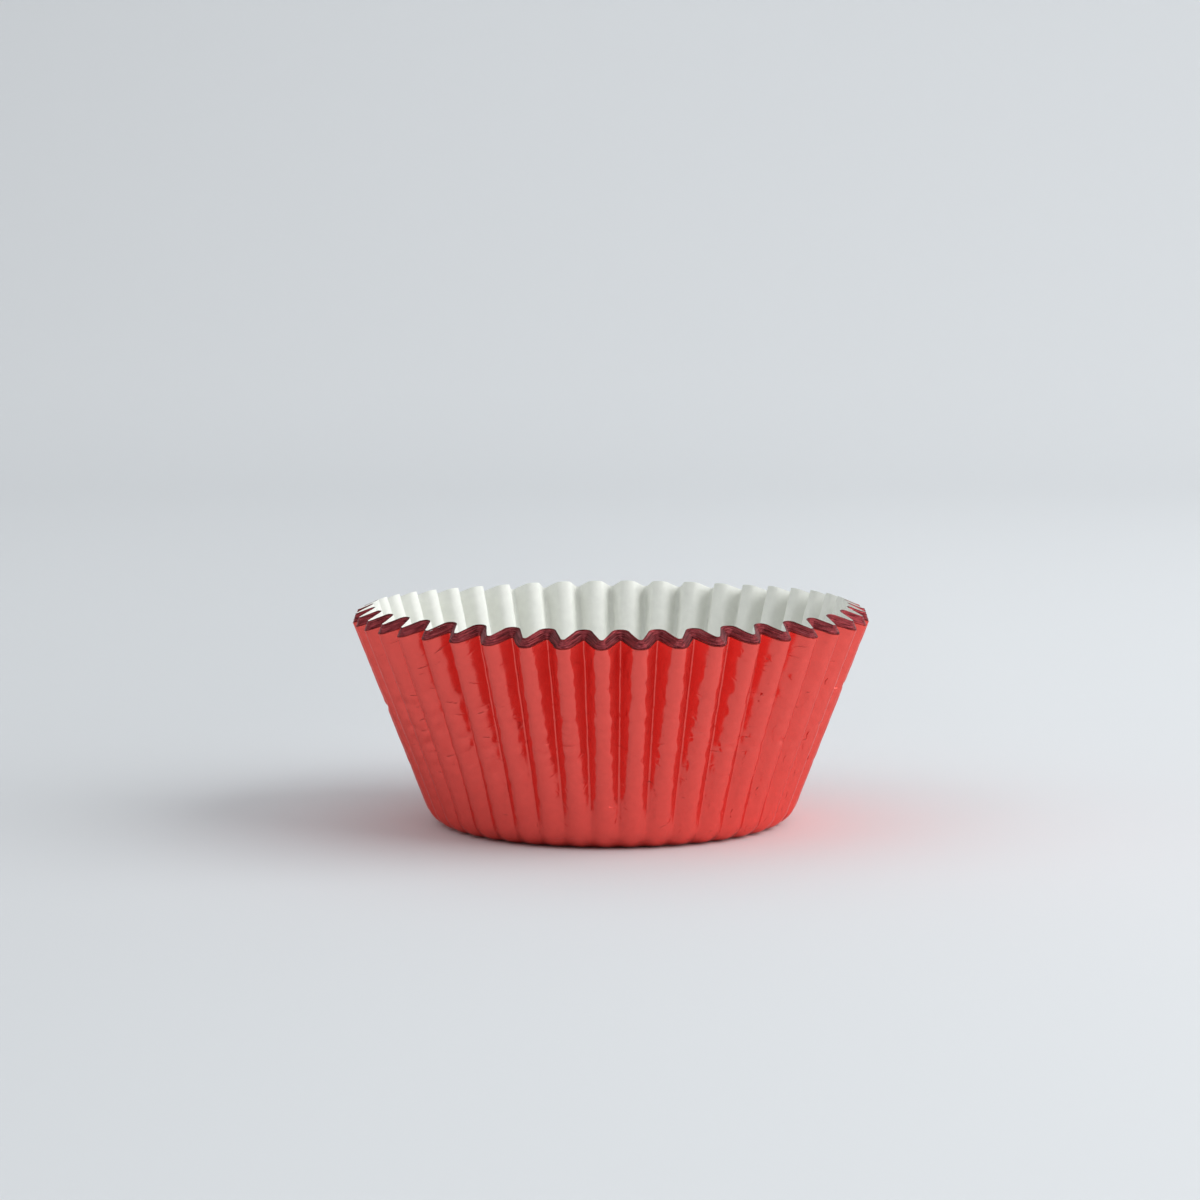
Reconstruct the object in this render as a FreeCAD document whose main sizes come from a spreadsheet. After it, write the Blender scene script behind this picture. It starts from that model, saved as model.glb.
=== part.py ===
"""Cupcake liners, nested and pressed together: one fluted cup in millimetres.

The liners are flat paper discs pressed over one form in a stack, so their walls lie
against each other as a single wall as thick as all the sheets. The cup stands on
Z = 0 with its axis on +Z. The outermost liner ends lowest and each one inside it a
little higher, because it turns the corner on a smaller radius: that gives the bevel
of cut edges round the rim.

Run is the distance along the outside of the crests, from the edge of the flat base,
round the corner and up the wall. Rise is measured square to the wall, outwards from
the outside of the crests, so every point of the paper has a negative rise. Share is
a place round the cup, counted in half flutes from the middle of the front crest.
"""
import FreeCAD, Part
import math
import os

os.makedirs("parts", exist_ok=True)

doc = FreeCAD.newDocument("cupcake_liner")

# Driving dimensions, in millimetres and degrees
SIZES = [
    ("flat_radius", 22.5, "flat of the base, centre to start of the corner"),
    ("corner_radius", 4.0, "outside of the corner between base and wall"),
    ("wall_lean", 21.2, "outside of the crests, measured from the vertical"),
    ("wall_run", 28.0, "wall of the outermost liner, along its slope"),
    ("flute_count", 44, "flutes round the cup"),
    ("rim_depth", 2.75, "crest to fold at the rim"),
    ("depth_growth", 0.8, "power of the run that the depth of the flutes follows"),
    ("fold_radius", 0.25, "inside of the paper's bend over a crest"),
    ("sheet_count", 17, "liners in the nest"),
    ("sheet_pitch", 0.055, "one liner to the next, foil, paper and air"),
    ("bend_flats", 6, "flat facets over each bend of the paper"),
    ("corner_bands", 3, "bands of facets up the corner"),
    ("wall_bands", 3, "bands of facets up the wall"),
]
sheet = doc.addObject("Spreadsheet::Sheet", "Sizes")
sheet.Label = "sizes"
for row, (alias, value, meaning) in enumerate(SIZES, start=1):
    sheet.set(f"A{row}", alias)
    sheet.set(f"B{row}", str(value))
    sheet.set(f"C{row}", meaning)
    sheet.setAlias(f"B{row}", alias)
doc.recompute()


def size(alias):
    """One driving dimension as a plain number."""
    return float(sheet.get(alias))


def count(alias):
    """One driving number as a whole number."""
    return int(round(size(alias)))


flute_count = count("flute_count")
thickness = size("sheet_count") * size("sheet_pitch")
lean = math.radians(size("wall_lean"))
turn = math.pi / 2 - lean
corner_run = size("corner_radius") * turn
rim_run = corner_run + size("wall_run")


def outside(run):
    """Radius, height and slope angle of the crests' outside at a run."""
    angle = min(run / size("corner_radius"), turn)
    up_wall = max(run - corner_run, 0)
    radius = size("flat_radius") + size("corner_radius") * math.sin(angle)
    height = size("corner_radius") * (1 - math.cos(angle))
    return radius + up_wall * math.cos(angle), height + up_wall * math.sin(angle), angle


def point_at(run, share, rise):
    """A point of the cup from its run, its share and its rise."""
    radius, height, angle = outside(run)
    radius += rise * math.sin(angle)
    height -= rise * math.cos(angle)
    place = share * math.pi / flute_count - math.pi / 2
    return FreeCAD.Vector(radius * math.cos(place), radius * math.sin(place), height)


def flute_depth(run):
    """Crest to fold: none at the flat base, and growing as the spare paper does."""
    return size("rim_depth") * (run / rim_run) ** size("depth_growth")


def bend(run):
    """Half pitch, depth, crest radius and steepness of a flute at a run.

    A flute is an arc over the crest and a straight flank, tangent to it, down to the
    sharp fold at half a pitch.
    """
    depth = flute_depth(run)
    radius, _, angle = outside(run)
    middle = radius - (depth + thickness) / 2 * math.sin(angle)
    half_pitch = math.pi * middle / flute_count
    crest = size("fold_radius") + thickness
    away = math.hypot(half_pitch, crest - depth)
    steepness = math.atan2(half_pitch, crest - depth) - math.acos(crest / away)
    return half_pitch, depth, crest, steepness


def arc_places(flats, steepness):
    """Angles that divide a bend in even facets, or only its middle when flats is none."""
    if flats == 0:
        return [0.0]
    return [steepness * (2 * step / flats - 1) for step in range(flats + 1)]


def outer_flute(run, flats):
    """The outermost face over one flute: points over its crest, then the fold."""
    half_pitch, depth, crest, steepness = bend(run)
    over_crest = [
        (crest * math.sin(angle) / half_pitch, crest * (math.cos(angle) - 1))
        for angle in arc_places(flats, steepness)
    ]
    return over_crest, [(1, -depth)]


def inner_flute(run, flats):
    """The innermost face over one flute: the notch, then points round the fold."""
    half_pitch, depth, crest, steepness = bend(run)
    notch = size("fold_radius") / math.cos(steepness) - crest
    round_fold = [
        (1 + thickness * math.sin(angle) / half_pitch, -depth - thickness * math.cos(angle))
        for angle in arc_places(flats, steepness)
    ]
    return [(0, notch)], round_fold


def ring(run, flute):
    """A closed line round the cup: two groups of points a flute, at crest and fold."""
    return [
        [point_at(run, share + 2 * number, rise) for share, rise in group]
        for number in range(flute_count)
        for group in flute
    ]


def face(*corners):
    """A flat face on its corners."""
    return Part.Face(Part.makePolygon([*corners, corners[0]]))


def row_faces(lower, upper):
    """Triangles between two rows of points, as long as each other, or one a point."""
    steps = max(len(lower), len(upper)) - 1
    faces = []
    for step in range(steps):
        if len(lower) > 1:
            faces.append(face(lower[step], lower[step + 1], upper[min(step, len(upper) - 1)]))
        if len(upper) > 1:
            faces.append(face(lower[min(step + 1, len(lower) - 1)], upper[step + 1], upper[step]))
    return faces


def band(lower, upper):
    """The faces between two rings."""
    faces = []
    for index, (below, above) in enumerate(zip(lower, upper)):
        following = (index + 1) % len(lower)
        faces += row_faces(below, above)
        faces += row_faces([below[-1], lower[following][0]], [above[-1], upper[following][0]])
    return faces


def side_rings(flute, top_run):
    """The rings of one side of the wall, from the flat base up to its rim."""
    corner_bands = count("corner_bands")
    wall_bands = count("wall_bands")
    rings = [ring(corner_run * step / corner_bands, flute(corner_run * step / corner_bands, 0))
             for step in range(corner_bands)]
    for step in range(wall_bands + 1):
        run = corner_run + (top_run - corner_run) * step / wall_bands
        rings.append(ring(run, flute(run, count("bend_flats"))))
    return rings


def build_wall():
    """Corner and fluted wall: facets between rings, sewn into one closed solid."""
    outer_rings = side_rings(outer_flute, rim_run)
    inner_rings = side_rings(inner_flute, rim_run + turn * thickness)
    faces = []
    for rings in (outer_rings, inner_rings):
        for lower, upper in zip(rings, rings[1:]):
            faces += band(lower, upper)
    faces += band(outer_rings[-1], inner_rings[-1])
    faces += band(inner_rings[0], outer_rings[0])
    skin = Part.makeCompound(faces)
    skin.sewShape()
    solid = Part.Solid(skin.Shells[0])
    if solid.Volume < 0:
        solid.reverse()
    wall = doc.addObject("Part::Feature", "FlutedWall")
    wall.Label = "fluted_wall"
    wall.Shape = solid
    wall.Placement = FreeCAD.Placement()
    return wall


def build_base():
    """The flat of the base, with a corner under every crest and every fold."""
    base = doc.addObject("Part::Prism", "FlatBase")
    base.Label = "flat_base"
    base.setExpression("Polygon", "Sizes.flute_count * 2")
    base.setExpression("Circumradius", "Sizes.flat_radius * 1 mm")
    base.setExpression("Height", "Sizes.sheet_count * Sizes.sheet_pitch * 1 mm")
    base.setExpression("Placement.Rotation.Angle", "-90 deg")
    return base


base = build_base()
wall = build_wall()
cup = doc.addObject("Part::Fuse", "CupcakeLiner")
cup.Label = "cupcake_liner"
cup.Base = base
cup.Tool = wall
doc.recompute()

for item in doc.Objects:
    if "Invalid" in item.State or "Error" in item.State:
        raise RuntimeError(f"{item.Label} is not built: {item.State}")
for part in (base, wall, cup):
    if part.Shape.isNull() or not part.Shape.isValid():
        raise RuntimeError(f"{part.Label} has no valid shape")
if len(cup.Shape.Solids) != 1:
    raise RuntimeError(f"the cup is {len(cup.Shape.Solids)} solids, not one")

cup.Shape.exportStep(f"parts/{cup.Label}.step")
extent = cup.Shape.BoundBox
print(
    f"{cup.Label}: {extent.XLength:.2f} x {extent.YLength:.2f} x {extent.ZLength:.2f} mm, "
    f"{cup.Shape.Volume:.0f} cubic mm, {len(cup.Shape.Faces)} faces"
)
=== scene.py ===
import math

import bpy
import numpy as np
from bpy.props import FloatProperty, FloatVectorProperty, IntProperty, PointerProperty
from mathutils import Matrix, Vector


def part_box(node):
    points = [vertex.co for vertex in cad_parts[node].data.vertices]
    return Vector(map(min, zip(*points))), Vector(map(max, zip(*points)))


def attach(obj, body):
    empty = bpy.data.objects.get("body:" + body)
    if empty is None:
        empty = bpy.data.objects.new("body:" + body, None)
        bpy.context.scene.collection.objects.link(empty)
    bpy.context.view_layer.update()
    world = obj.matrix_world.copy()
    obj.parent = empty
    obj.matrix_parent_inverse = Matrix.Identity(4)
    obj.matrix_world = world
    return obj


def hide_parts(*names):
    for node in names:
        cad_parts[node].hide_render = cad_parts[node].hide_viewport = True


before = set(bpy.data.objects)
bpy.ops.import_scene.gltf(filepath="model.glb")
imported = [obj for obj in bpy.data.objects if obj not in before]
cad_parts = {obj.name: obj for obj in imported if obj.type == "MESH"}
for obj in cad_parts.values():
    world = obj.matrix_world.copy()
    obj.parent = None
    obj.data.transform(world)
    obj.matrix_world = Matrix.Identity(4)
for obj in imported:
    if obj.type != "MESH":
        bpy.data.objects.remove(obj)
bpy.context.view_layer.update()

bl_info = {
    "name": "Cupcake liners",
    "version": (1, 0, 0),
    "blender": (4, 5, 0),
    "location": "3D View > Sidebar > Liners",
    "description": "A tight nest of fluted foil cupcake liners on a pale studio floor",
    "category": "Add Mesh",
}

NODE = "cupcake_liner"
MM = 0.001
SEED = 11

# Sharper edges than this stay sharp in the shading
SHARP_EDGE = math.radians(42)

# Cells of the paper's grain to a metre, and the fine grain's share of the height
FINE_GRAIN, BROAD_GRAIN, FINE_SHARE = 5000.0, 1500.0, 0.4

# Cells of each noise on the wall: round the cup, and up or into the wall
STREAK_CELLS = (240.0, 9.0)
CREPING_CELLS = (95.0, 60.0)
CREASE_CELLS = (88.0, 20.0)
KEPT_CELLS = (140.0, 34.0)


class LinerSizes(bpy.types.PropertyGroup):
    """Sizes of the pressed liners."""

    flat_radius: FloatProperty(
        name="Flat radius", description="Centre of the base to the start of the corner",
        default=22.5 * MM, unit="LENGTH")
    corner_radius: FloatProperty(
        name="Corner radius", description="Outside of the corner between base and wall",
        default=4.0 * MM, unit="LENGTH")
    wall_lean: FloatProperty(
        name="Wall lean", description="Outside of the crests, measured from the vertical",
        default=math.radians(21.2), unit="ROTATION")
    flute_count: IntProperty(
        name="Flutes", description="Flutes round the cup", default=44, min=8)
    rim_depth: FloatProperty(
        name="Flute depth", description="Crest to fold at the rim",
        default=2.75 * MM, unit="LENGTH")
    depth_growth: FloatProperty(
        name="Depth growth", description="Power of the run that the flute depth follows",
        default=0.8)
    crest_radius: FloatProperty(
        name="Crest bend", description="Inside of the paper's bend over a crest",
        default=0.25 * MM, unit="LENGTH")
    fold_radius: FloatProperty(
        name="Fold bend", description="Outside of the foil's bend in a fold",
        default=0.2 * MM, unit="LENGTH")
    sheet_count: IntProperty(
        name="Liners", description="Liners in the nest", default=17, min=3)
    sheet_pitch: FloatProperty(
        name="Liner pitch", description="From one liner to the next, with the air between",
        default=0.055 * MM, unit="LENGTH")
    paper_thickness: FloatProperty(
        name="Paper thickness", description="One liner's foil and paper",
        default=0.044 * MM, unit="LENGTH")
    unevenness: FloatProperty(
        name="Unevenness", description="Size of the dents and waves of the paper",
        default=1.0, subtype="FACTOR")


class LinerColours(bpy.types.PropertyGroup):
    """Colours of the foil, the cut edges and the paper."""

    foil: FloatVectorProperty(
        name="Foil", description="Red lacquered foil",
        default=(0.92, 0.114, 0.093), size=3, subtype="COLOR")
    # Stain in the streaks, and painted shade where the stack's two borders darken the tone
    edge_stain_and_shade: FloatVectorProperty(
        name="Cut edge, dark", description="Stained part of the cut edges",
        default=(0.075, 0.010, 0.013), size=3, subtype="COLOR")
    edge_light: FloatVectorProperty(
        name="Cut edge, light", description="Paler part of the cut edges",
        default=(0.33, 0.075, 0.085), size=3, subtype="COLOR")
    edge_fibres: FloatVectorProperty(
        name="Cut edge, fibres", description="Bare paper fibres in the cut edges",
        default=(0.60, 0.38, 0.38), size=3, subtype="COLOR")
    strip_dark: FloatVectorProperty(
        name="Foil step, dark", description="Foil between the cut edges, in its shade",
        default=(0.12, 0.008, 0.012), size=3, subtype="COLOR")
    strip_light: FloatVectorProperty(
        name="Foil step, light", description="Foil between the cut edges, where clean",
        default=(0.50, 0.07, 0.08), size=3, subtype="COLOR")
    paper: FloatVectorProperty(
        name="Paper", description="Bare paper inside the cup",
        default=(0.84, 0.85, 0.80), size=3, subtype="COLOR")
    floor: FloatVectorProperty(
        name="Floor", description="Pale studio floor",
        default=(0.66, 0.68, 0.695), size=3, subtype="COLOR")
    backdrop: FloatVectorProperty(
        name="Backdrop", description="The same paper where it curves up behind",
        default=(0.82, 0.84, 0.855), size=3, subtype="COLOR")
    # Painted light: the floor is paler on the right of the cup, its lit side, and the foil mirrors
    # this paler floor
    floor_painted_light: FloatVectorProperty(
        name="Floor, right", description="The floor on the lit side of the cup",
        default=(0.735, 0.755, 0.77), size=3, subtype="COLOR")


class CameraPlace(bpy.types.PropertyGroup):
    """Where the camera stands and looks."""

    away: FloatProperty(
        name="Distance", description="Level distance from the cup's axis to the camera",
        default=440 * MM, unit="LENGTH")
    up: FloatProperty(
        name="Height", description="Height of the camera over the floor",
        default=75.8 * MM, unit="LENGTH")
    aside: FloatProperty(
        name="Offset", description="Camera to the left of the cup's axis",
        default=1.39 * MM, unit="LENGTH")
    turned: FloatProperty(
        name="Turned", description="Camera turned round the cup from its front crest",
        default=math.radians(1.89), unit="ROTATION")
    down: FloatProperty(
        name="Tilt", description="Camera looks down by this angle",
        default=math.radians(5.79), unit="ROTATION")
    roll: FloatProperty(
        name="Roll", description="Camera rolled about its own axis",
        default=math.radians(0.17), unit="ROTATION")
    focal: FloatProperty(
        name="Focal length", description="Lens, in millimetres, on a square 36 mm frame",
        default=94.3, unit="CAMERA")


class Form:
    """The pressed shape as arrays: run up the wall, place round it, depth into it."""

    # Columns over one flute: crest bend, flank, fold bend, flank
    CREST, DOWN, FOLD, UP = 10, 4, 6, 4
    # How fast both bends open out where the flute is shallow
    GENTLE_CREST, GENTLE_FOLD = 0.21, 0.05
    # Share of the flank that the bend over a crest takes up low on the wall
    ROUND_LOW = 0.6
    # Largest share of the room between crest and fold that each bend may take
    WIDEST_CREST, WIDEST_FOLD = 0.96, 0.3
    # Smallest depth and radius that a flute's shape is worked out for
    LEAST_DEPTH, LEAST_RADIUS = 0.02 * MM, 0.1 * MM

    # Waves of the paper: number, turns round the cup, radians per metre up it, slopes
    WAVE_COUNT = 40
    WAVE_TURNS = (8, 330)
    WAVE_RATE = 2400
    WAVE_SLOPE, SWAY_SLOPE = 0.012, 0.018
    # Room left under the solid's outside for the waves
    WAVE_ROOM = 0.03 * MM

    # Creases anywhere: number, share of the run, share of the steepest, width in mm
    CREASE_COUNT = 340
    CREASE_BAND, CREASE_SHARE, CREASE_WIDTH = (0.3, 0.9), (0.3, 1.0), (0.45, 1.0)
    STEEPEST_CREASE = 0.3
    # The sharper crease of each flute: strays from the crest in radians, then the same
    SHARP_STRAY = 0.03
    SHARP_BAND, SHARP_SHARE, SHARP_WIDTH = (0.50, 0.74), (0.25, 1.0), (0.5, 0.9)
    STEEPEST_SHARP = 0.8
    # All creases: largest slant, bow, height by the width, and reach in radians
    CREASE_SLANT, CREASE_BOW, CREASE_FLATNESS, CREASE_REACH = 0.8, 0.5, 0.45, 0.07
    # Radius of the wall at mid height, by the flat's
    WALL_MIDDLE = 1.4

    # The rim: lift in the folds, and dips twice and five times round
    FOLD_LIFT = 0.10 * MM
    BROAD_DIP, BROAD_TURN, FRONT_DIP = 0.12 * MM, 0.7, 0.09 * MM
    # How much narrower the cup is from front to back
    OVAL = 0.07 * MM
    # Lengths of the waves in which the bend over a crest opens and tightens
    BEND_WAVES = (1.9 * MM, 2.9 * MM, 4.7 * MM, 8.3 * MM)
    BEND_SPREAD = 0.06
    # How far the round folds inside stand out as boxes, by the thickness
    BOX_FOLD = 0.19
    # Flute depths: times round, share and turn of each sine, and the mean loss
    DEPTH_WAVES = ((5, 0.022, 1.0), (11, 0.018, 2.3), (17, 0.016, 0.4))
    MEAN_LOSS = 0.03
    # Straying flutes: times round, radians and turn of each cosine, and their level
    STRAY_WAVES = ((1, 0.0227, -2.13), (2, 0.0079, -1.47), (3, 0.0096, 1.97))
    STRAY_LEVEL = 0.0105
    # Bell of the right end, in radians: height, place and width
    END_STRAY, END_PLACE, END_WIDTH = 0.055, 1.33, 0.25

    # Rows: the ring nearest the centre, the bunching at mid height, the rim's tuck
    NEAR_CENTRE = 0.4 * MM
    ROW_BUNCHING = 0.45
    RIM_TUCK = 0.7 * MM

    def __init__(self, sizes):
        self.sizes = sizes
        self.thickness = sizes.sheet_count * sizes.sheet_pitch
        self.turn = math.pi / 2 - sizes.wall_lean
        self.corner_run = sizes.corner_radius * self.turn
        corner_height = sizes.corner_radius * (1 - math.cos(self.turn))
        full_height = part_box(NODE)[1][2] - self.WAVE_ROOM
        fold_lift = (sizes.rim_depth + self.thickness) * math.sin(sizes.wall_lean)
        slope = (full_height - corner_height - fold_lift) / math.cos(sizes.wall_lean)
        self.wall_run = slope - self.turn * self.thickness - self.FOLD_LIFT
        self.rim_run = self.corner_run + self.wall_run
        self.part, self.place, self.flute = self.columns()
        self.rng = np.random.default_rng(SEED)
        self.waves = self.random_waves(self.WAVE_SLOPE)
        self.sways = self.random_waves(self.SWAY_SLOPE)
        self.creases = self.random_creases()
        self.bend_phases = self.rng.uniform(
            0, 2 * math.pi, (len(self.BEND_WAVES), sizes.flute_count))

    def columns(self):
        """Which stretch of the flute each column is on, and its place there, -1 to 1."""
        parts, places = [], []
        for part, number in enumerate((self.CREST, self.DOWN, self.FOLD, self.UP)):
            parts += [part] * number
            places += [2 * step / number - 1 for step in range(number)]
        count = self.sizes.flute_count
        flute = np.repeat(np.arange(count), len(parts))
        return np.tile(parts, count), np.tile(places, count), flute

    def by_part(self, crest, down, fold, up):
        """Each column's value, picked by the stretch of the flute that it is on."""
        on = [self.part == number for number in range(3)]
        return np.select(on, [crest, down, fold], up)

    def random_waves(self, slope):
        """Waves of the paper: their turn rates round and up the cup, phase and height.

        Each adds the same slope, so that short waves are low and long ones high.
        """
        number = self.WAVE_COUNT
        around = self.rng.integers(*self.WAVE_TURNS, number)
        up = self.rng.uniform(-self.WAVE_RATE, self.WAVE_RATE, number)
        rate = np.hypot(around / self.sizes.flat_radius, up)
        phase = self.rng.uniform(0, 2 * math.pi, number)
        return np.stack([around, up, phase, slope / rate], -1)

    def random_creases(self):
        """Creases of the paper: place round and up, steepness, width and slant.

        Some lie anywhere; one more, short and sharp, is on each flute near mid height.
        """
        number = self.CREASE_COUNT
        anywhere = np.stack([
            self.rng.uniform(-math.pi, math.pi, number),
            self.rng.uniform(*self.CREASE_BAND, number) * self.rim_run,
            self.rng.uniform(*self.CREASE_SHARE, number) ** 2 * self.STEEPEST_CREASE,
            self.rng.uniform(*self.CREASE_WIDTH, number) * MM,
            self.rng.uniform(-self.CREASE_SLANT, self.CREASE_SLANT, number)], -1)
        number = self.sizes.flute_count
        crests = 2 * math.pi * np.arange(number) / number - math.pi / 2
        sharp = np.stack([
            crests + self.rng.uniform(-self.SHARP_STRAY, self.SHARP_STRAY, number),
            self.rng.uniform(*self.SHARP_BAND, number) * self.rim_run,
            self.rng.uniform(*self.SHARP_SHARE, number) * self.STEEPEST_SHARP,
            self.rng.uniform(*self.SHARP_WIDTH, number) * MM,
            self.rng.uniform(-self.CREASE_SLANT, self.CREASE_SLANT, number)], -1)
        return np.concatenate([anywhere, sharp])

    def outside(self, run):
        """Radius, height and slope angle of the crests' outside.

        The path is level to the flat's edge, then an arc of the corner radius, then
        straight up the wall.
        """
        sizes = self.sizes
        angle = np.clip(run / sizes.corner_radius, 0, self.turn)
        level = np.minimum(run, 0)
        up_wall = np.maximum(run - self.corner_run, 0)
        radius = sizes.flat_radius + level + sizes.corner_radius * np.sin(angle)
        height = sizes.corner_radius * (1 - np.cos(angle))
        return radius + up_wall * np.cos(angle), height + up_wall * np.sin(angle), angle

    def flute_depth(self, run):
        """Crest to fold: a power of the share of the run, as the spare paper grows."""
        share = np.maximum(run, 0) / self.rim_run
        return self.sizes.rim_depth * share ** self.sizes.depth_growth

    def section(self, run, offset):
        """Share of a half flute and rise over the columns.

        A flute is an arc over the crest, a flank tangent to it, an arc in the fold and
        the other flank. Both arcs open out where the flute is shallow, and low on the
        wall the arc over the crest takes up most of the flank. The offset moves every
        point into the wall along its normal.
        """
        sizes = self.sizes
        depth = self.flute_depth(run) * self.depth_factor(run)
        shape_depth = np.maximum(depth, self.LEAST_DEPTH)
        radius, _, angle = self.outside(run)
        middle = radius - (depth + self.thickness) / 2 * np.sin(angle)
        half = math.pi * np.maximum(middle, self.LEAST_RADIUS) / sizes.flute_count
        crest = np.hypot(sizes.crest_radius + self.thickness,
                         self.GENTLE_CREST * half ** 2 / shape_depth)
        room = (half ** 2 + shape_depth ** 2) / (2 * shape_depth)
        fold = np.hypot(sizes.fold_radius, self.GENTLE_FOLD * half ** 2 / shape_depth)
        fold = np.minimum(fold, self.WIDEST_FOLD * room)
        widest = room - fold
        low = self.ROUND_LOW * np.clip(1 - run / self.rim_run, 0, 1)
        crest = crest + low * np.maximum(widest - crest, 0)
        crest = crest * (1 + self.bend_spread(run) * (1 - offset / self.thickness))
        crest = np.minimum(crest, self.WIDEST_CREST * widest)
        both = crest + fold
        away = np.hypot(half, both - shape_depth)
        steep = np.arcsin(both / away) - np.arctan2(both - shape_depth, half)
        crest_x = crest * np.sin(steep)
        crest_y = crest * (np.cos(steep) - 1)
        fold_x = half - fold * np.sin(steep)
        fold_y = fold * (1 - np.cos(steep)) - shape_depth

        place = self.place
        along = (place + 1) / 2
        over_crest = place * steep
        in_fold = -place * steep
        across = self.by_part(
            crest * np.sin(over_crest),
            crest_x + (fold_x - crest_x) * along,
            half - fold * np.sin(in_fold),
            2 * half - fold_x + (fold_x - crest_x) * along)
        rise = self.by_part(
            crest * (np.cos(over_crest) - 1),
            crest_y + (fold_y - crest_y) * along,
            fold * (1 - np.cos(in_fold)) - shape_depth,
            fold_y + (crest_y - fold_y) * along)
        normal = self.by_part(over_crest, steep + 0 * place, in_fold, -steep + 0 * place)
        flatter = np.minimum(depth / shape_depth, 1)
        rise = rise * flatter
        normal = normal * flatter
        boxed = self.by_part(0 * place, along, self.box_corner(place), 1 - along)
        inward = (offset / self.thickness) ** 4 * depth / sizes.rim_depth
        offset = offset + self.BOX_FOLD * self.thickness * inward * boxed
        across = across - offset * np.sin(normal)
        rise = rise - offset * np.cos(normal)
        return across / half, rise

    @staticmethod
    def box_corner(place):
        """How far a box with rounded corners stands out of a circle, 1 at its corners.

        The corners are at the two ends of the bend, and the box's curve is the one whose
        fourth powers add up to one.
        """
        turned = place * math.pi / 4
        reach = (np.cos(turned) ** 4 + np.sin(turned) ** 4) ** -0.25
        return (reach - 1) / (2 ** 0.25 - 1)

    def bend_spread(self, run):
        """The bend over a crest opens and tightens up each flute: a sum of sines."""
        total = 0 * run + 0 * self.place
        for length, phases in zip(self.BEND_WAVES, self.bend_phases):
            total = total + np.sin(2 * math.pi * run / length + phases[self.flute])
        return self.BEND_SPREAD * self.sizes.unevenness * total

    def depth_factor(self, run):
        """Some flutes are a little shallower than others, over their whole height.

        A sum of sines of whole multiples of the angle from the front.
        """
        angle = 2 * math.pi * self.flute / self.sizes.flute_count
        uneven = sum(share * np.sin(times * angle + turned)
                     for times, share, turned in self.DEPTH_WAVES)
        return 1 + (uneven - self.MEAN_LOSS) * self.sizes.unevenness + 0 * run

    def wander(self, angle):
        """Flutes stray sideways: wider on the right of the front, closer at the sides.

        A sum of cosines of once, twice and three times the angle from the front, and a
        bell where the flutes of the right end are drawn apart.
        """
        azimuth = angle + math.pi / 2
        stray = sum(radians * np.cos(times * azimuth + turned)
                    for times, radians, turned in self.STRAY_WAVES)
        bell = np.exp(-((azimuth - self.END_PLACE) / self.END_WIDTH) ** 2)
        stray = stray + self.STRAY_LEVEL + self.END_STRAY * bell
        return stray * self.sizes.unevenness

    def top_run(self, depth):
        """The run at which the liner at a depth into the wall is cut, for each column.

        Deeper liners turn the corner on a smaller radius, so they end higher, and more
        so in the folds. The discs lie a little off centre, so the rim dips by cosines
        of twice and five times the angle from the front.
        """
        place = self.place
        in_fold = self.by_part(0 * place, (1 + place) / 2, 1 + 0 * place, (1 - place) / 2)
        lift = self.FOLD_LIFT * in_fold * depth / self.thickness
        azimuth = 2 * math.pi * self.flute / self.sizes.flute_count
        dip = self.BROAD_DIP * (1 + np.cos(2 * azimuth - self.BROAD_TURN))
        dip = dip + self.FRONT_DIP * (1 + np.cos(5 * azimuth))
        return self.rim_run + self.turn * depth + lift - dip * self.sizes.unevenness

    def wavy(self, waves, angle, run):
        """A sum of sines in angle and run, in metres."""
        total = np.zeros(angle.shape)
        for around, up, phase, height in waves:
            total += height * np.sin(around * angle + up * run + phase)
        return total

    def ripple(self, angle, run):
        """Waves and creases of the paper, in metres along the wall's normal.

        Waves, and bell-shaped creases bent across the flutes, both fading out towards
        the flat base.
        """
        total = self.wavy(self.waves, angle, run)
        for at, middle, steep, wide, slant in self.creases:
            nearby = np.abs((angle - at + math.pi) % (2 * math.pi) - math.pi) < self.CREASE_REACH
            spots = np.nonzero(nearby & (np.abs(run - middle) < 4 * wide))
            high = self.CREASE_FLATNESS * wide
            aside = (angle[spots] - at + math.pi) % (2 * math.pi) - math.pi
            aside = aside * self.WALL_MIDDLE * self.sizes.flat_radius / wide
            above = (run[spots] - middle) / high - slant * aside
            above = above + self.CREASE_BOW * aside ** 2
            total[spots] -= steep * high * np.exp(-aside ** 2 - above ** 2)
        fade = np.clip(run / (2 * self.corner_run), 0, 1)
        return (total - self.WAVE_ROOM) * fade * self.sizes.unevenness

    def points(self, run, offset):
        """Points of a surface in the row frame, rows by columns by three.

        A place round the cup is the flute's number and the share of a half flute. The
        rise is laid along the wall's normal, so crests end lower than folds.
        """
        share, rise = self.section(run, offset)
        radius, height, slope = self.outside(run)
        angle = (share + 2 * self.flute) * math.pi / self.sizes.flute_count - math.pi / 2
        run = run + 0 * angle
        rise = rise + self.ripple(angle, run) - self.OVAL * np.sin(angle) ** 2
        radius = radius + rise * np.sin(slope)
        height = height - rise * np.cos(slope)
        sway = self.wavy(self.sways, angle, run) * np.clip(run / self.rim_run, 0, 1)
        angle = angle + self.wander(angle) + self.sizes.unevenness * sway / radius
        return np.stack([radius * np.cos(angle), radius * np.sin(angle), height], axis=-1)


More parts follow.
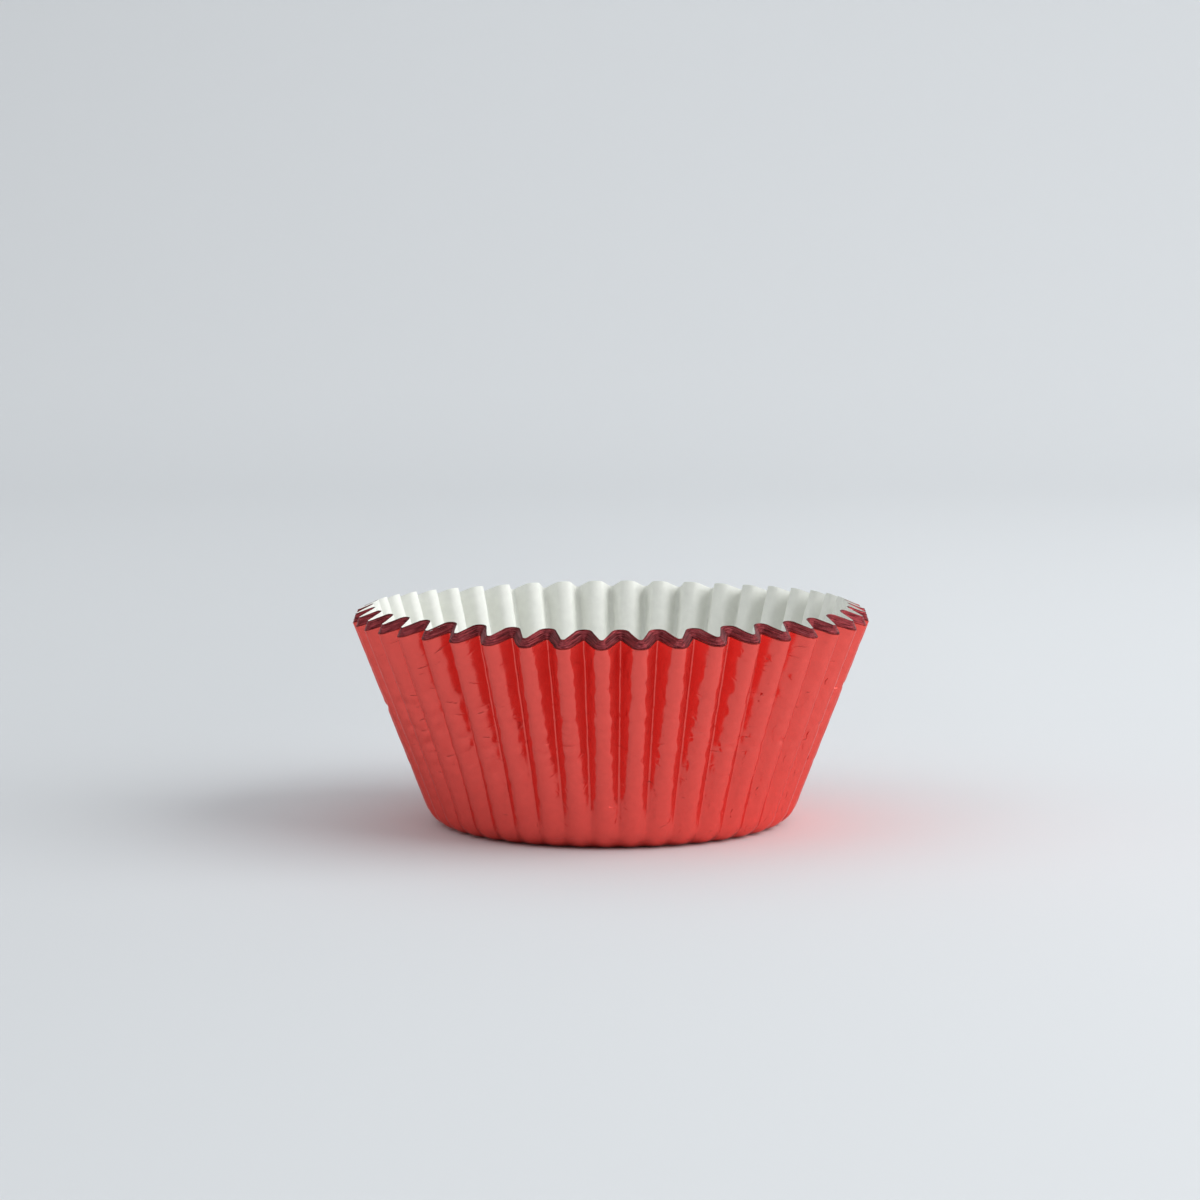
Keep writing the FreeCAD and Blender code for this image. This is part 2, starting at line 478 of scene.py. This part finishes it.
def path_up(form, rows_flat, rows_corner, rows_wall, top_run):
    """Runs of the rows from near the centre of the base to the rim, as a column.

    The wall's rows lie closer together at mid height, where the creases are: their
    shares of the wall are even steps plus a sine of them. The last but one is close
    under the rim.
    """
    near_centre = form.NEAR_CENTRE - form.sizes.flat_radius
    flat = np.linspace(near_centre, 0, rows_flat, endpoint=False)
    corner = np.linspace(0, form.corner_run, rows_corner, endpoint=False)
    even = np.linspace(0, 1, rows_wall - 1)[:, None]
    share = even + form.ROW_BUNCHING * np.sin(2 * math.pi * even) / (2 * math.pi)
    wall = form.corner_run + share * (top_run - form.RIM_TUCK - form.corner_run)
    wall = np.concatenate([wall, top_run[None, :]])
    columns = len(form.part)
    low = np.repeat(np.concatenate([flat, corner])[:, None], columns, axis=1)
    return np.concatenate([low, wall])


def places_on(form, runs, offsets):
    """The place of every face corner: round the cup, and up and into the wall.

    The first goes from 0 to 1 once round from the back of the cup; the second is the
    share of the run up the wall plus the share of the thickness into it.
    """
    rows, columns = runs.shape
    left = (np.arange(columns) / columns + 0.5) % 1
    right = left + 1 / columns
    around = np.broadcast_to(np.stack([left, right, right, left], -1), (rows - 1, columns, 4))
    up = runs / form.rim_run + offsets / form.thickness
    beside = np.roll(up, -1, axis=1)
    up = np.stack([up[:-1], beside[:-1], beside[1:], up[1:]], -1)
    quads = np.stack([around, up], -1).reshape(-1, 2)
    return np.concatenate([quads, np.zeros((6 * columns, 2))])


def closed_skin(name, form, runs, offsets, row_slots, materials):
    """One closed piece from rows of points, its two ends closed on the cup's axis.

    Runs and offsets give each row's line; row_slots is the material of the faces that
    follow each row. The places round and up the wall are kept as a UV map.
    """
    rows, columns = runs.shape
    grid = form.points(runs, offsets).reshape(-1, 3)
    first_pole = (0, 0, grid[:columns, 2].mean())
    last_pole = (0, 0, grid[-columns:, 2].mean())
    vertices = np.concatenate([grid, [first_pole, last_pole]]).astype(np.float32)

    row = np.arange(rows - 1)[:, None] * columns
    here = np.arange(columns)[None, :]
    after = (here + 1) % columns
    quads = np.stack([row + here, row + after, row + columns + after, row + columns + here], -1)
    quads = quads.reshape(-1, 4)
    start, end = rows * columns, rows * columns + 1
    here, after = here[0], after[0]
    last = (rows - 1) * columns
    fan_in = np.stack([np.full(columns, start), after, here], -1)
    fan_out = np.stack([last + here, last + after, np.full(columns, end)], -1)

    loops = np.concatenate([quads.ravel(), fan_in.ravel(), fan_out.ravel()])
    lengths = np.concatenate([np.full(len(quads), 4), np.full(2 * columns, 3)])
    starts = np.concatenate([[0], np.cumsum(lengths)[:-1]])
    slots = np.concatenate([
        np.repeat(row_slots, columns),
        np.full(columns, row_slots[0]), np.full(columns, row_slots[-1])])

    mesh = bpy.data.meshes.new(name)
    mesh.vertices.add(len(vertices))
    mesh.vertices.foreach_set("co", vertices.ravel())
    mesh.loops.add(len(loops))
    mesh.loops.foreach_set("vertex_index", loops.astype(np.int32))
    mesh.polygons.add(len(lengths))
    mesh.polygons.foreach_set("loop_start", starts.astype(np.int32))
    mesh.polygons.foreach_set("material_index", slots.astype(np.int32))
    mesh.polygons.foreach_set("use_smooth", np.ones(len(lengths), bool))

    layer = mesh.uv_layers.new(name="place")
    layer.data.foreach_set("uv", places_on(form, runs, offsets).astype(np.float32).ravel())
    for material in materials:
        mesh.materials.append(material)
    mesh.update(calc_edges=True)
    mesh.validate()
    mesh.set_sharp_from_angle(angle=SHARP_EDGE)
    piece = bpy.data.objects.new(name, mesh)
    bpy.context.scene.collection.objects.link(piece)
    return piece


class Nodes:
    """Adds and links the nodes of one tree.

    Inputs are given by their names, or as i0, i1 and so on by their numbers.
    """

    def __init__(self, tree):
        self.tree = tree

    def add(self, kind, settings=None, **inputs):
        """A node with its settings, its inputs set to values or linked to sockets."""
        node = self.tree.nodes.new(kind)
        for key, value in (settings or {}).items():
            setattr(node, key, value)
        for key, value in inputs.items():
            numbered = key[0] == "i" and key[1:].isdigit()
            socket = node.inputs[int(key[1:]) if numbered else key.replace("_", " ")]
            if isinstance(value, bpy.types.NodeSocket):
                self.tree.links.new(value, socket)
            else:
                socket.default_value = value
        return node

    def maths(self, operation, first, second=0.0):
        """The output of a maths node on two values or sockets."""
        return self.add("ShaderNodeMath", {"operation": operation}, i0=first, i1=second).outputs[0]

    def ramp(self, factor, stops):
        """A colour ramp through (place, colour) stops."""
        node = self.add("ShaderNodeValToRGB", Fac=factor)
        elements = node.color_ramp.elements
        while len(elements) < len(stops):
            elements.new(0.5)
        for element, (place, colour) in zip(elements, stops):
            element.position = place
            element.color = (*colour, 1)
        return node.outputs["Color"]


def new_material(name):
    """An empty node material and its tree, with only the output and a Principled shader."""
    material = bpy.data.materials.new(name)
    material.use_nodes = True
    nodes = Nodes(material.node_tree)
    shader = material.node_tree.nodes["Principled BSDF"]
    return material, nodes, shader


def paper_grain_group():
    """Fibres of the paper: a height and a tone from noise at two scales.

    The foil shows them through its lacquer, and the bare paper shows them openly.
    """
    name = "paper_grain"
    if name in bpy.data.node_groups:
        return bpy.data.node_groups[name]
    tree = bpy.data.node_groups.new(name, "ShaderNodeTree")
    tree.interface.new_socket("Vector", in_out="INPUT", socket_type="NodeSocketVector")
    scale = tree.interface.new_socket("Scale", in_out="INPUT", socket_type="NodeSocketFloat")
    scale.default_value = 1.0
    tree.interface.new_socket("Height", in_out="OUTPUT", socket_type="NodeSocketFloat")
    tree.interface.new_socket("Tone", in_out="OUTPUT", socket_type="NodeSocketFloat")
    nodes = Nodes(tree)
    inside = nodes.add("NodeGroupInput")
    fine_scale = nodes.maths("MULTIPLY", inside.outputs["Scale"], FINE_GRAIN)
    broad_scale = nodes.maths("MULTIPLY", inside.outputs["Scale"], BROAD_GRAIN)
    fine = nodes.add("ShaderNodeTexNoise", Vector=inside.outputs["Vector"], Scale=fine_scale,
                     Detail=3.0, Roughness=0.6)
    broad = nodes.add("ShaderNodeTexNoise", Vector=inside.outputs["Vector"], Scale=broad_scale,
                      Detail=4.0, Roughness=0.55)
    height = nodes.maths("ADD", nodes.maths("MULTIPLY", fine.outputs["Fac"], FINE_SHARE),
                         nodes.maths("MULTIPLY", broad.outputs["Fac"], 1 - FINE_SHARE))
    out = nodes.add("NodeGroupOutput")
    tree.links.new(height, out.inputs["Height"])
    tree.links.new(broad.outputs["Fac"], out.inputs["Tone"])
    return tree


def grain(nodes, vector, scale):
    """The paper grain group placed in a material."""
    return nodes.add("ShaderNodeGroup", {"node_tree": paper_grain_group()},
                     Vector=vector, Scale=scale)


def drawn_out_noise(nodes, place, cells, detail):
    """Noise over the places round and up the wall, with so many cells each way."""
    stretched = nodes.add("ShaderNodeMapping", Vector=place)
    stretched.inputs["Scale"].default_value = (*cells, 1.0)
    noise = nodes.add("ShaderNodeTexNoise", Vector=stretched.outputs["Vector"], Scale=1.0,
                      Detail=detail, Roughness=0.7)
    return noise.outputs["Fac"]


def wall_place(nodes):
    """The places round and up the wall, from the piece's own UV map."""
    return nodes.add("ShaderNodeUVMap", {"uv_map": "place"}).outputs["UV"]


def stack_tone_group():
    """Tone of the stack of cut edges: fine streaks along the rim, and painted shade that darkens
    its two borders.

    The second place is 1 at the outermost liner's edge and 2 at the innermost's.
    """
    name = "stack_tone"
    if name in bpy.data.node_groups:
        return bpy.data.node_groups[name]
    tree = bpy.data.node_groups.new(name, "ShaderNodeTree")
    tree.interface.new_socket("Place", in_out="INPUT", socket_type="NodeSocketVector")
    tree.interface.new_socket("Tone", in_out="OUTPUT", socket_type="NodeSocketFloat")
    nodes = Nodes(tree)
    place = nodes.add("NodeGroupInput").outputs["Place"]
    streak = drawn_out_noise(nodes, place, STREAK_CELLS, 5.0)
    into = nodes.add("ShaderNodeSeparateXYZ", Vector=place).outputs["Y"]
    # Painted shade: the tone falls to 0.6 at the two borders of the stack, next to the outer foil
    # and the inner paper
    first = nodes.add("ShaderNodeMapRange", Value=into, From_Min=0.99, From_Max=1.15,
                      To_Min=0.6, To_Max=1.0)
    last = nodes.add("ShaderNodeMapRange", Value=into, From_Min=2.04, From_Max=1.88,
                     To_Min=0.6, To_Max=1.0)
    painted_border_shade = nodes.maths("MINIMUM", first.outputs["Result"], last.outputs["Result"])
    out = nodes.add("NodeGroupOutput")
    tree.links.new(nodes.maths("MULTIPLY", streak, painted_border_shade), out.inputs["Tone"])
    return tree


def stack_tone(nodes):
    """The tone of the stack, with its painted shade at the borders, placed in a material."""
    return nodes.add("ShaderNodeGroup", {"node_tree": stack_tone_group()},
                     Place=wall_place(nodes)).outputs["Tone"]


def fine_creases(nodes, wall):
    """Height of the foil at its thin creases: a groove along one level of a noise.

    A second noise keeps only some of the grooves.
    """
    level = drawn_out_noise(nodes, wall, CREASE_CELLS, 0.0)
    away = nodes.maths("ABSOLUTE", nodes.maths("SUBTRACT", level, 0.52))
    groove = nodes.add("ShaderNodeMapRange", Value=away, From_Min=0.0, From_Max=0.05,
                       To_Min=1.0, To_Max=0.0)
    chosen = drawn_out_noise(nodes, wall, KEPT_CELLS, 0.0)
    kept = nodes.add("ShaderNodeMapRange", Value=chosen, From_Min=0.5, From_Max=0.62)
    depth = nodes.maths("MULTIPLY", groove.outputs["Result"], kept.outputs["Result"])
    return nodes.maths("SUBTRACT", 1.0, depth)


def foil_material(colours):
    """Red lacquered foil on paper: a tinted mirror with a paper grain and fine creping."""
    material, nodes, shader = new_material("red_foil")
    place = nodes.add("ShaderNodeTexCoord").outputs["Object"]
    texture = grain(nodes, place, 1.0)
    colour = nodes.ramp(texture.outputs["Tone"], [
        (0.3, tuple(0.91 * c for c in colours.foil)), (0.7, tuple(colours.foil))])
    rough = nodes.add("ShaderNodeMapRange", Value=texture.outputs["Tone"],
                      From_Min=0.3, From_Max=0.7, To_Min=0.17, To_Max=0.23)
    wall = wall_place(nodes)
    creping = drawn_out_noise(nodes, wall, CREPING_CELLS, 2.0)
    wide = nodes.add("ShaderNodeBump", Strength=0.35, Distance=0.04 * MM, Height=creping)
    creased = nodes.add("ShaderNodeBump", Strength=0.8, Distance=0.05 * MM,
                        Height=fine_creases(nodes, wall), Normal=wide.outputs["Normal"])
    bump = nodes.add("ShaderNodeBump", Strength=0.3, Distance=0.02 * MM,
                     Height=texture.outputs["Height"], Normal=creased.outputs["Normal"])
    tree = nodes.tree
    tree.links.new(colour, shader.inputs["Base Color"])
    tree.links.new(rough.outputs["Result"], shader.inputs["Roughness"])
    tree.links.new(bump.outputs["Normal"], shader.inputs["Normal"])
    shader.inputs["Metallic"].default_value = 0.76
    shader.inputs["Specular Tint"].default_value = (0.9, 0.35, 0.33, 1)
    shader.inputs["Coat Weight"].default_value = 0.15
    shader.inputs["Coat Roughness"].default_value = 0.25
    return material


def paper_material(colours):
    """Bare greaseproof paper inside the cup: pale, matt, with fibres."""
    material, nodes, shader = new_material("bare_paper")
    place = nodes.add("ShaderNodeTexCoord").outputs["Object"]
    texture = grain(nodes, place, 0.6)
    paper = tuple(colours.paper)
    colour = nodes.ramp(texture.outputs["Tone"], [
        (0.3, tuple(0.94 * c for c in paper)), (0.7, paper)])
    bump = nodes.add("ShaderNodeBump", Strength=0.25, Distance=0.03 * MM,
                     Height=texture.outputs["Height"])
    tree = nodes.tree
    tree.links.new(colour, shader.inputs["Base Color"])
    tree.links.new(bump.outputs["Normal"], shader.inputs["Normal"])
    shader.inputs["Roughness"].default_value = 0.75
    shader.inputs["Specular IOR Level"].default_value = 0.35
    return material


def edge_material(colours):
    """Cut edges of the liners: paper stained by the foil's lacquer, in fine streaks, with painted
    shade at the stack's two borders.
    """
    material, nodes, shader = new_material("cut_edges")
    colour = nodes.ramp(stack_tone(nodes), [
        (0.40, tuple(colours.edge_stain_and_shade)), (0.58, tuple(colours.edge_light)),
        (0.72, tuple(colours.edge_fibres))])
    nodes.tree.links.new(colour, shader.inputs["Base Color"])
    shader.inputs["Roughness"].default_value = 0.6
    return material


def strip_material(colours):
    """The narrow strips of foil that show between the cut edges, dulled by the knife, with their
    shade painted in as darker streaks.
    """
    material, nodes, shader = new_material("foil_steps")
    # Painted shade: the dark colour is the foil in the shade of the steps, darkest at the stack's
    # borders
    colour = nodes.ramp(stack_tone(nodes), [
        (0.40, tuple(colours.strip_dark)), (0.62, tuple(colours.strip_light))])
    nodes.tree.links.new(colour, shader.inputs["Base Color"])
    shader.inputs["Metallic"].default_value = 0.8
    shader.inputs["Roughness"].default_value = 0.38
    return material


def liner_materials():
    """The four finishes, made once: foil, cut edge, foil between the edges, paper."""
    colours = bpy.context.scene.liner_colours
    makers = {
        "red_foil": foil_material, "cut_edges": edge_material,
        "foil_steps": strip_material, "bare_paper": paper_material,
    }
    return [bpy.data.materials.get(name) or make(colours) for name, make in makers.items()]


# Material slots, in the order of liner_materials
FOIL, EDGE, STRIP, PAPER = 0, 1, 2, 3

# Rows of points over the flat, the corner and the wall
OUTER_ROWS, INNER_ROWS = (3, 8, 68), (3, 8, 54)
HIDDEN_ROWS, NESTED_ROWS = (2, 4, 6), (2, 5, 8)

# Shares of the thickness at which the hidden faces stand below the rim
OUTER_BACK, NESTED_FRONT, NESTED_BACK, INNER_FRONT = 0.42, 0.47, 0.53, 0.58

# Scatter of the nested rims: whole liners, tilted ones, and waves nine times round
RIM_SCATTER, RIM_TILT, RIM_WAVE = 0.022 * MM, 0.04 * MM, 0.02 * MM


def add_piece(name, form, runs, offsets, row_slots):
    """Makes a closed piece of the nest and puts it on the row's body."""
    piece = closed_skin(name, form, runs, offsets, row_slots, liner_materials())
    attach(piece, "root")
    return piece


def one_liner(name, form, rim_depth, rim_foil, top_run, foil_face, paper_face):
    """One paper liner: foil face, cut edge and paper face.

    The rim depth is where its foil is at the rim, and the rim foil is the finish of the
    last of it. Each face is its rows and, as a share of the wall's thickness, its depth
    below the rim. The face that lies against the other liners has few rows, and stands
    near the middle of the wall, so that none of it shows through the one in front.
    """
    foil_rows, foil_share = foil_face
    paper_rows, paper_share = paper_face
    up = path_up(form, *foil_rows, top_run)
    down = path_up(form, *paper_rows, top_run)[::-1]
    runs = np.concatenate([up, down])
    offsets = np.concatenate([
        np.full(up.shape, foil_share * form.thickness),
        np.full(down.shape, paper_share * form.thickness)])
    offsets[len(up) - 1] = rim_depth
    offsets[len(up)] = rim_depth + form.sizes.paper_thickness
    row_slots = [FOIL] * (len(up) - 2) + [rim_foil, EDGE] + [PAPER] * (len(down) - 1)
    return add_piece(name, form, runs, offsets, row_slots)


class LINER_OT_outer(bpy.types.Operator):
    """Makes the outermost liner, whose foil shows all round"""

    bl_idname = "liner.outer"
    bl_label = "Outer liner"

    def execute(self, context):
        form = Form(context.scene.liner_sizes)
        piece = one_liner("outer_liner", form, 0.0, FOIL, form.top_run(0.0),
                          (OUTER_ROWS, 0.0), (HIDDEN_ROWS, OUTER_BACK))
        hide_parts(NODE)
        return {"FINISHED"}


class LINER_OT_nested(bpy.types.Operator):
    """Makes the liners between, whose cut edges step up in a bevel round the rim"""

    bl_idname = "liner.nested"
    bl_label = "Nested liners"

    def execute(self, context):
        sizes = context.scene.liner_sizes
        form = Form(sizes)
        rng = np.random.default_rng(SEED + 1)
        angle = 2 * math.pi * np.arange(len(form.part)) / len(form.part)
        runs, offsets = [], []
        between = sizes.sheet_count - 2
        for number in range(1, between + 1):
            depth = number * sizes.sheet_pitch
            top = form.top_run(depth) + rng.normal(0, RIM_SCATTER)
            top = top + rng.normal(0, RIM_TILT) * np.sin(angle + rng.uniform(0, 2 * math.pi))
            top = top + rng.normal(0, RIM_WAVE) * np.sin(9 * angle + rng.uniform(0, 6))
            runs += [top, top]
            offsets += [depth, depth + sizes.paper_thickness]
        band_runs = np.array(runs)
        band_offsets = np.repeat(np.array(offsets)[:, None], len(form.part), axis=1)
        up = path_up(form, *NESTED_ROWS, band_runs[0])[:-1]
        down = path_up(form, *NESTED_ROWS, band_runs[-1])[::-1][1:]
        all_runs = np.concatenate([up, band_runs, down])
        all_offsets = np.concatenate([
            np.full(up.shape, NESTED_FRONT * form.thickness), band_offsets,
            np.full(down.shape, NESTED_BACK * form.thickness)])
        steps = [EDGE, STRIP] * between
        row_slots = [FOIL] * len(up) + steps[:-1] + [PAPER] * len(down)
        add_piece("nested_liners", form, all_runs, all_offsets, row_slots)
        return {"FINISHED"}


class LINER_OT_inner(bpy.types.Operator):
    """Makes the innermost liner, whose bare paper lines the cup"""

    bl_idname = "liner.inner"
    bl_label = "Inner liner"

    def execute(self, context):
        sizes = context.scene.liner_sizes
        form = Form(sizes)
        depth = (sizes.sheet_count - 1) * sizes.sheet_pitch
        one_liner("inner_liner", form, depth, STRIP, form.top_run(depth),
                  (HIDDEN_ROWS, INNER_FRONT), (INNER_ROWS, 1.0))
        return {"FINISHED"}


def sweep_mesh(half_width, front, back, bend, top):
    """A level floor that curves up into a wall behind, as one sheet.

    The path is straight on the floor, a quarter circle of the bend radius, then
    straight up; it is carried sideways without change.
    """
    turns = np.linspace(0, math.pi / 2, 24)
    along = np.concatenate([[-front], back + bend * np.sin(turns), [back + bend]])
    height = np.concatenate([[0], bend * (1 - np.cos(turns)), [top]])
    side = np.array([-half_width, half_width])
    points = np.stack([
        np.repeat(side, len(along)), np.tile(along, 2), np.tile(height, 2)], -1)
    step = np.arange(len(along) - 1)
    quads = np.stack([step, step + len(along), step + len(along) + 1, step + 1], -1)
    mesh = bpy.data.meshes.new("studio_floor")
    mesh.from_pydata(points.tolist(), [], quads.tolist())
    mesh.polygons.foreach_set("use_smooth", np.ones(len(quads), bool))
    mesh.update()
    return mesh


def blend_colours(nodes, factor, first, second):
    """A mix of two colours or colour sockets by a factor."""
    mix = nodes.add("ShaderNodeMix", {"data_type": "RGBA"}, i0=factor, i6=first, i7=second)
    return mix.outputs[2]


def floor_material(colours):
    """Pale matt floor paper, paler where it curves up behind, with painted light: paler on the
    right of the cup, its lit side.
    """
    material, nodes, shader = new_material("floor_paper")
    place = nodes.add("ShaderNodeTexCoord").outputs["Object"]
    place = nodes.add("ShaderNodeSeparateXYZ", Vector=place)
    behind = nodes.add("ShaderNodeMapRange", Value=place.outputs["Y"],
                       From_Min=100 * MM, From_Max=900 * MM)
    # Painted light: the floor turns to its paler colour from left to right across the cup
    right = nodes.add("ShaderNodeMapRange", Value=place.outputs["X"],
                      From_Min=-70 * MM, From_Max=70 * MM)
    level = blend_colours(nodes, right.outputs["Result"],
                          (*colours.floor, 1), (*colours.floor_painted_light, 1))
    colour = blend_colours(nodes, behind.outputs["Result"], level, (*colours.backdrop, 1))
    nodes.tree.links.new(colour, shader.inputs["Base Color"])
    shader.inputs["Roughness"].default_value = 0.9
    shader.inputs["Specular IOR Level"].default_value = 0.2
    return material


def area_light(name, place, target, size, power, colour):
    """A square soft light at a place, facing a target, all in metres and watts."""
    lamp = bpy.data.lights.new(name, "AREA")
    lamp.shape = "SQUARE"
    lamp.size = size
    lamp.energy = power
    lamp.color = colour
    holder = bpy.data.objects.new(name, lamp)
    holder.location = place
    direction = [end - start for end, start in zip(target, place)]
    level = math.hypot(direction[0], direction[1])
    holder.rotation_euler = (
        math.pi / 2 + math.atan2(direction[2], level), 0,
        math.atan2(direction[1], direction[0]) - math.pi / 2)
    bpy.context.scene.collection.objects.link(holder)


def even_world(scene, colour, strength):
    """The dim even light that comes from all round."""
    world = bpy.data.worlds.new("studio")
    scene.world = world
    world.use_nodes = True
    background = world.node_tree.nodes["Background"]
    background.inputs["Color"].default_value = (*colour, 1)
    background.inputs["Strength"].default_value = strength


def photo_camera(scene):
    """The camera at the photo's viewing angle.

    It stands off and aside from the axis, turned round the cup with its place.
    """
    place = scene.liner_camera
    lens = bpy.data.cameras.new("camera")
    lens.lens = place.focal
    lens.sensor_width = 36
    lens.clip_start = 10 * MM
    holder = bpy.data.objects.new("camera", lens)
    turn = place.turned
    holder.location = (
        -place.aside * math.cos(turn) + place.away * math.sin(turn),
        -place.aside * math.sin(turn) - place.away * math.cos(turn),
        place.up)
    holder.rotation_mode = "XYZ"
    holder.rotation_euler = (math.pi / 2 - place.down, place.roll, turn)
    scene.collection.objects.link(holder)
    scene.camera = holder


class LINER_OT_stage(bpy.types.Operator):
    """Makes the floor, the soft studio light and the camera"""

    bl_idname = "liner.stage"
    bl_label = "Stage"

    def execute(self, context):
        scene = context.scene
        sweep = sweep_mesh(half_width=2.0, front=1.5, back=0.7, bend=0.7, top=2.2)
        floor = bpy.data.objects.new("studio_floor", sweep)
        floor.data.materials.append(floor_material(scene.liner_colours))
        scene.collection.objects.link(floor)

        cup = (0, 0, 0)
        area_light("window", (1.0, -0.2, 0.5), cup, size=1.2, power=14.0,
                   colour=(0.985, 0.99, 1.0))
        area_light("ceiling", (0.2, 0.0, 0.9), (0.2, 0.001, 0), size=2.2, power=8.0,
                   colour=(0.98, 0.99, 1.0))
        area_light("fill", (-0.9, -0.3, 0.6), cup, size=1.0, power=2.2,
                   colour=(0.98, 0.99, 1.0))
        even_world(scene, colour=(0.92, 0.96, 1.0), strength=0.25)
        photo_camera(scene)
        scene.view_settings.view_transform = "Standard"
        return {"FINISHED"}


OPERATORS = (LINER_OT_outer, LINER_OT_nested, LINER_OT_inner, LINER_OT_stage)


class LINER_PT_panel(bpy.types.Panel):
    """Sizes, colours and pieces of the liners"""

    bl_idname = "LINER_PT_panel"
    bl_label = "Cupcake liners"
    bl_space_type = "VIEW_3D"
    bl_region_type = "UI"
    bl_category = "Liners"

    def draw(self, context):
        layout = self.layout
        for group in (context.scene.liner_sizes, context.scene.liner_colours,
                      context.scene.liner_camera):
            for name in group.__annotations__:
                layout.prop(group, name)
        for operator in OPERATORS:
            layout.operator(operator.bl_idname)


CLASSES = (LinerSizes, LinerColours, CameraPlace, *OPERATORS, LINER_PT_panel)


def register():
    """Registers the classes and puts their values on the scene."""
    for item in CLASSES:
        bpy.utils.register_class(item)
    bpy.types.Scene.liner_sizes = PointerProperty(type=LinerSizes)
    bpy.types.Scene.liner_colours = PointerProperty(type=LinerColours)
    bpy.types.Scene.liner_camera = PointerProperty(type=CameraPlace)


def unregister():
    """Takes the values off the scene and removes the classes."""
    del bpy.types.Scene.liner_camera
    del bpy.types.Scene.liner_colours
    del bpy.types.Scene.liner_sizes
    for item in reversed(CLASSES):
        bpy.utils.unregister_class(item)


def main():
    """Makes every piece and the stage."""
    register()
    bpy.ops.liner.stage()
    bpy.ops.liner.outer()
    bpy.ops.liner.nested()
    bpy.ops.liner.inner()


if __name__ == "__main__":
    main()
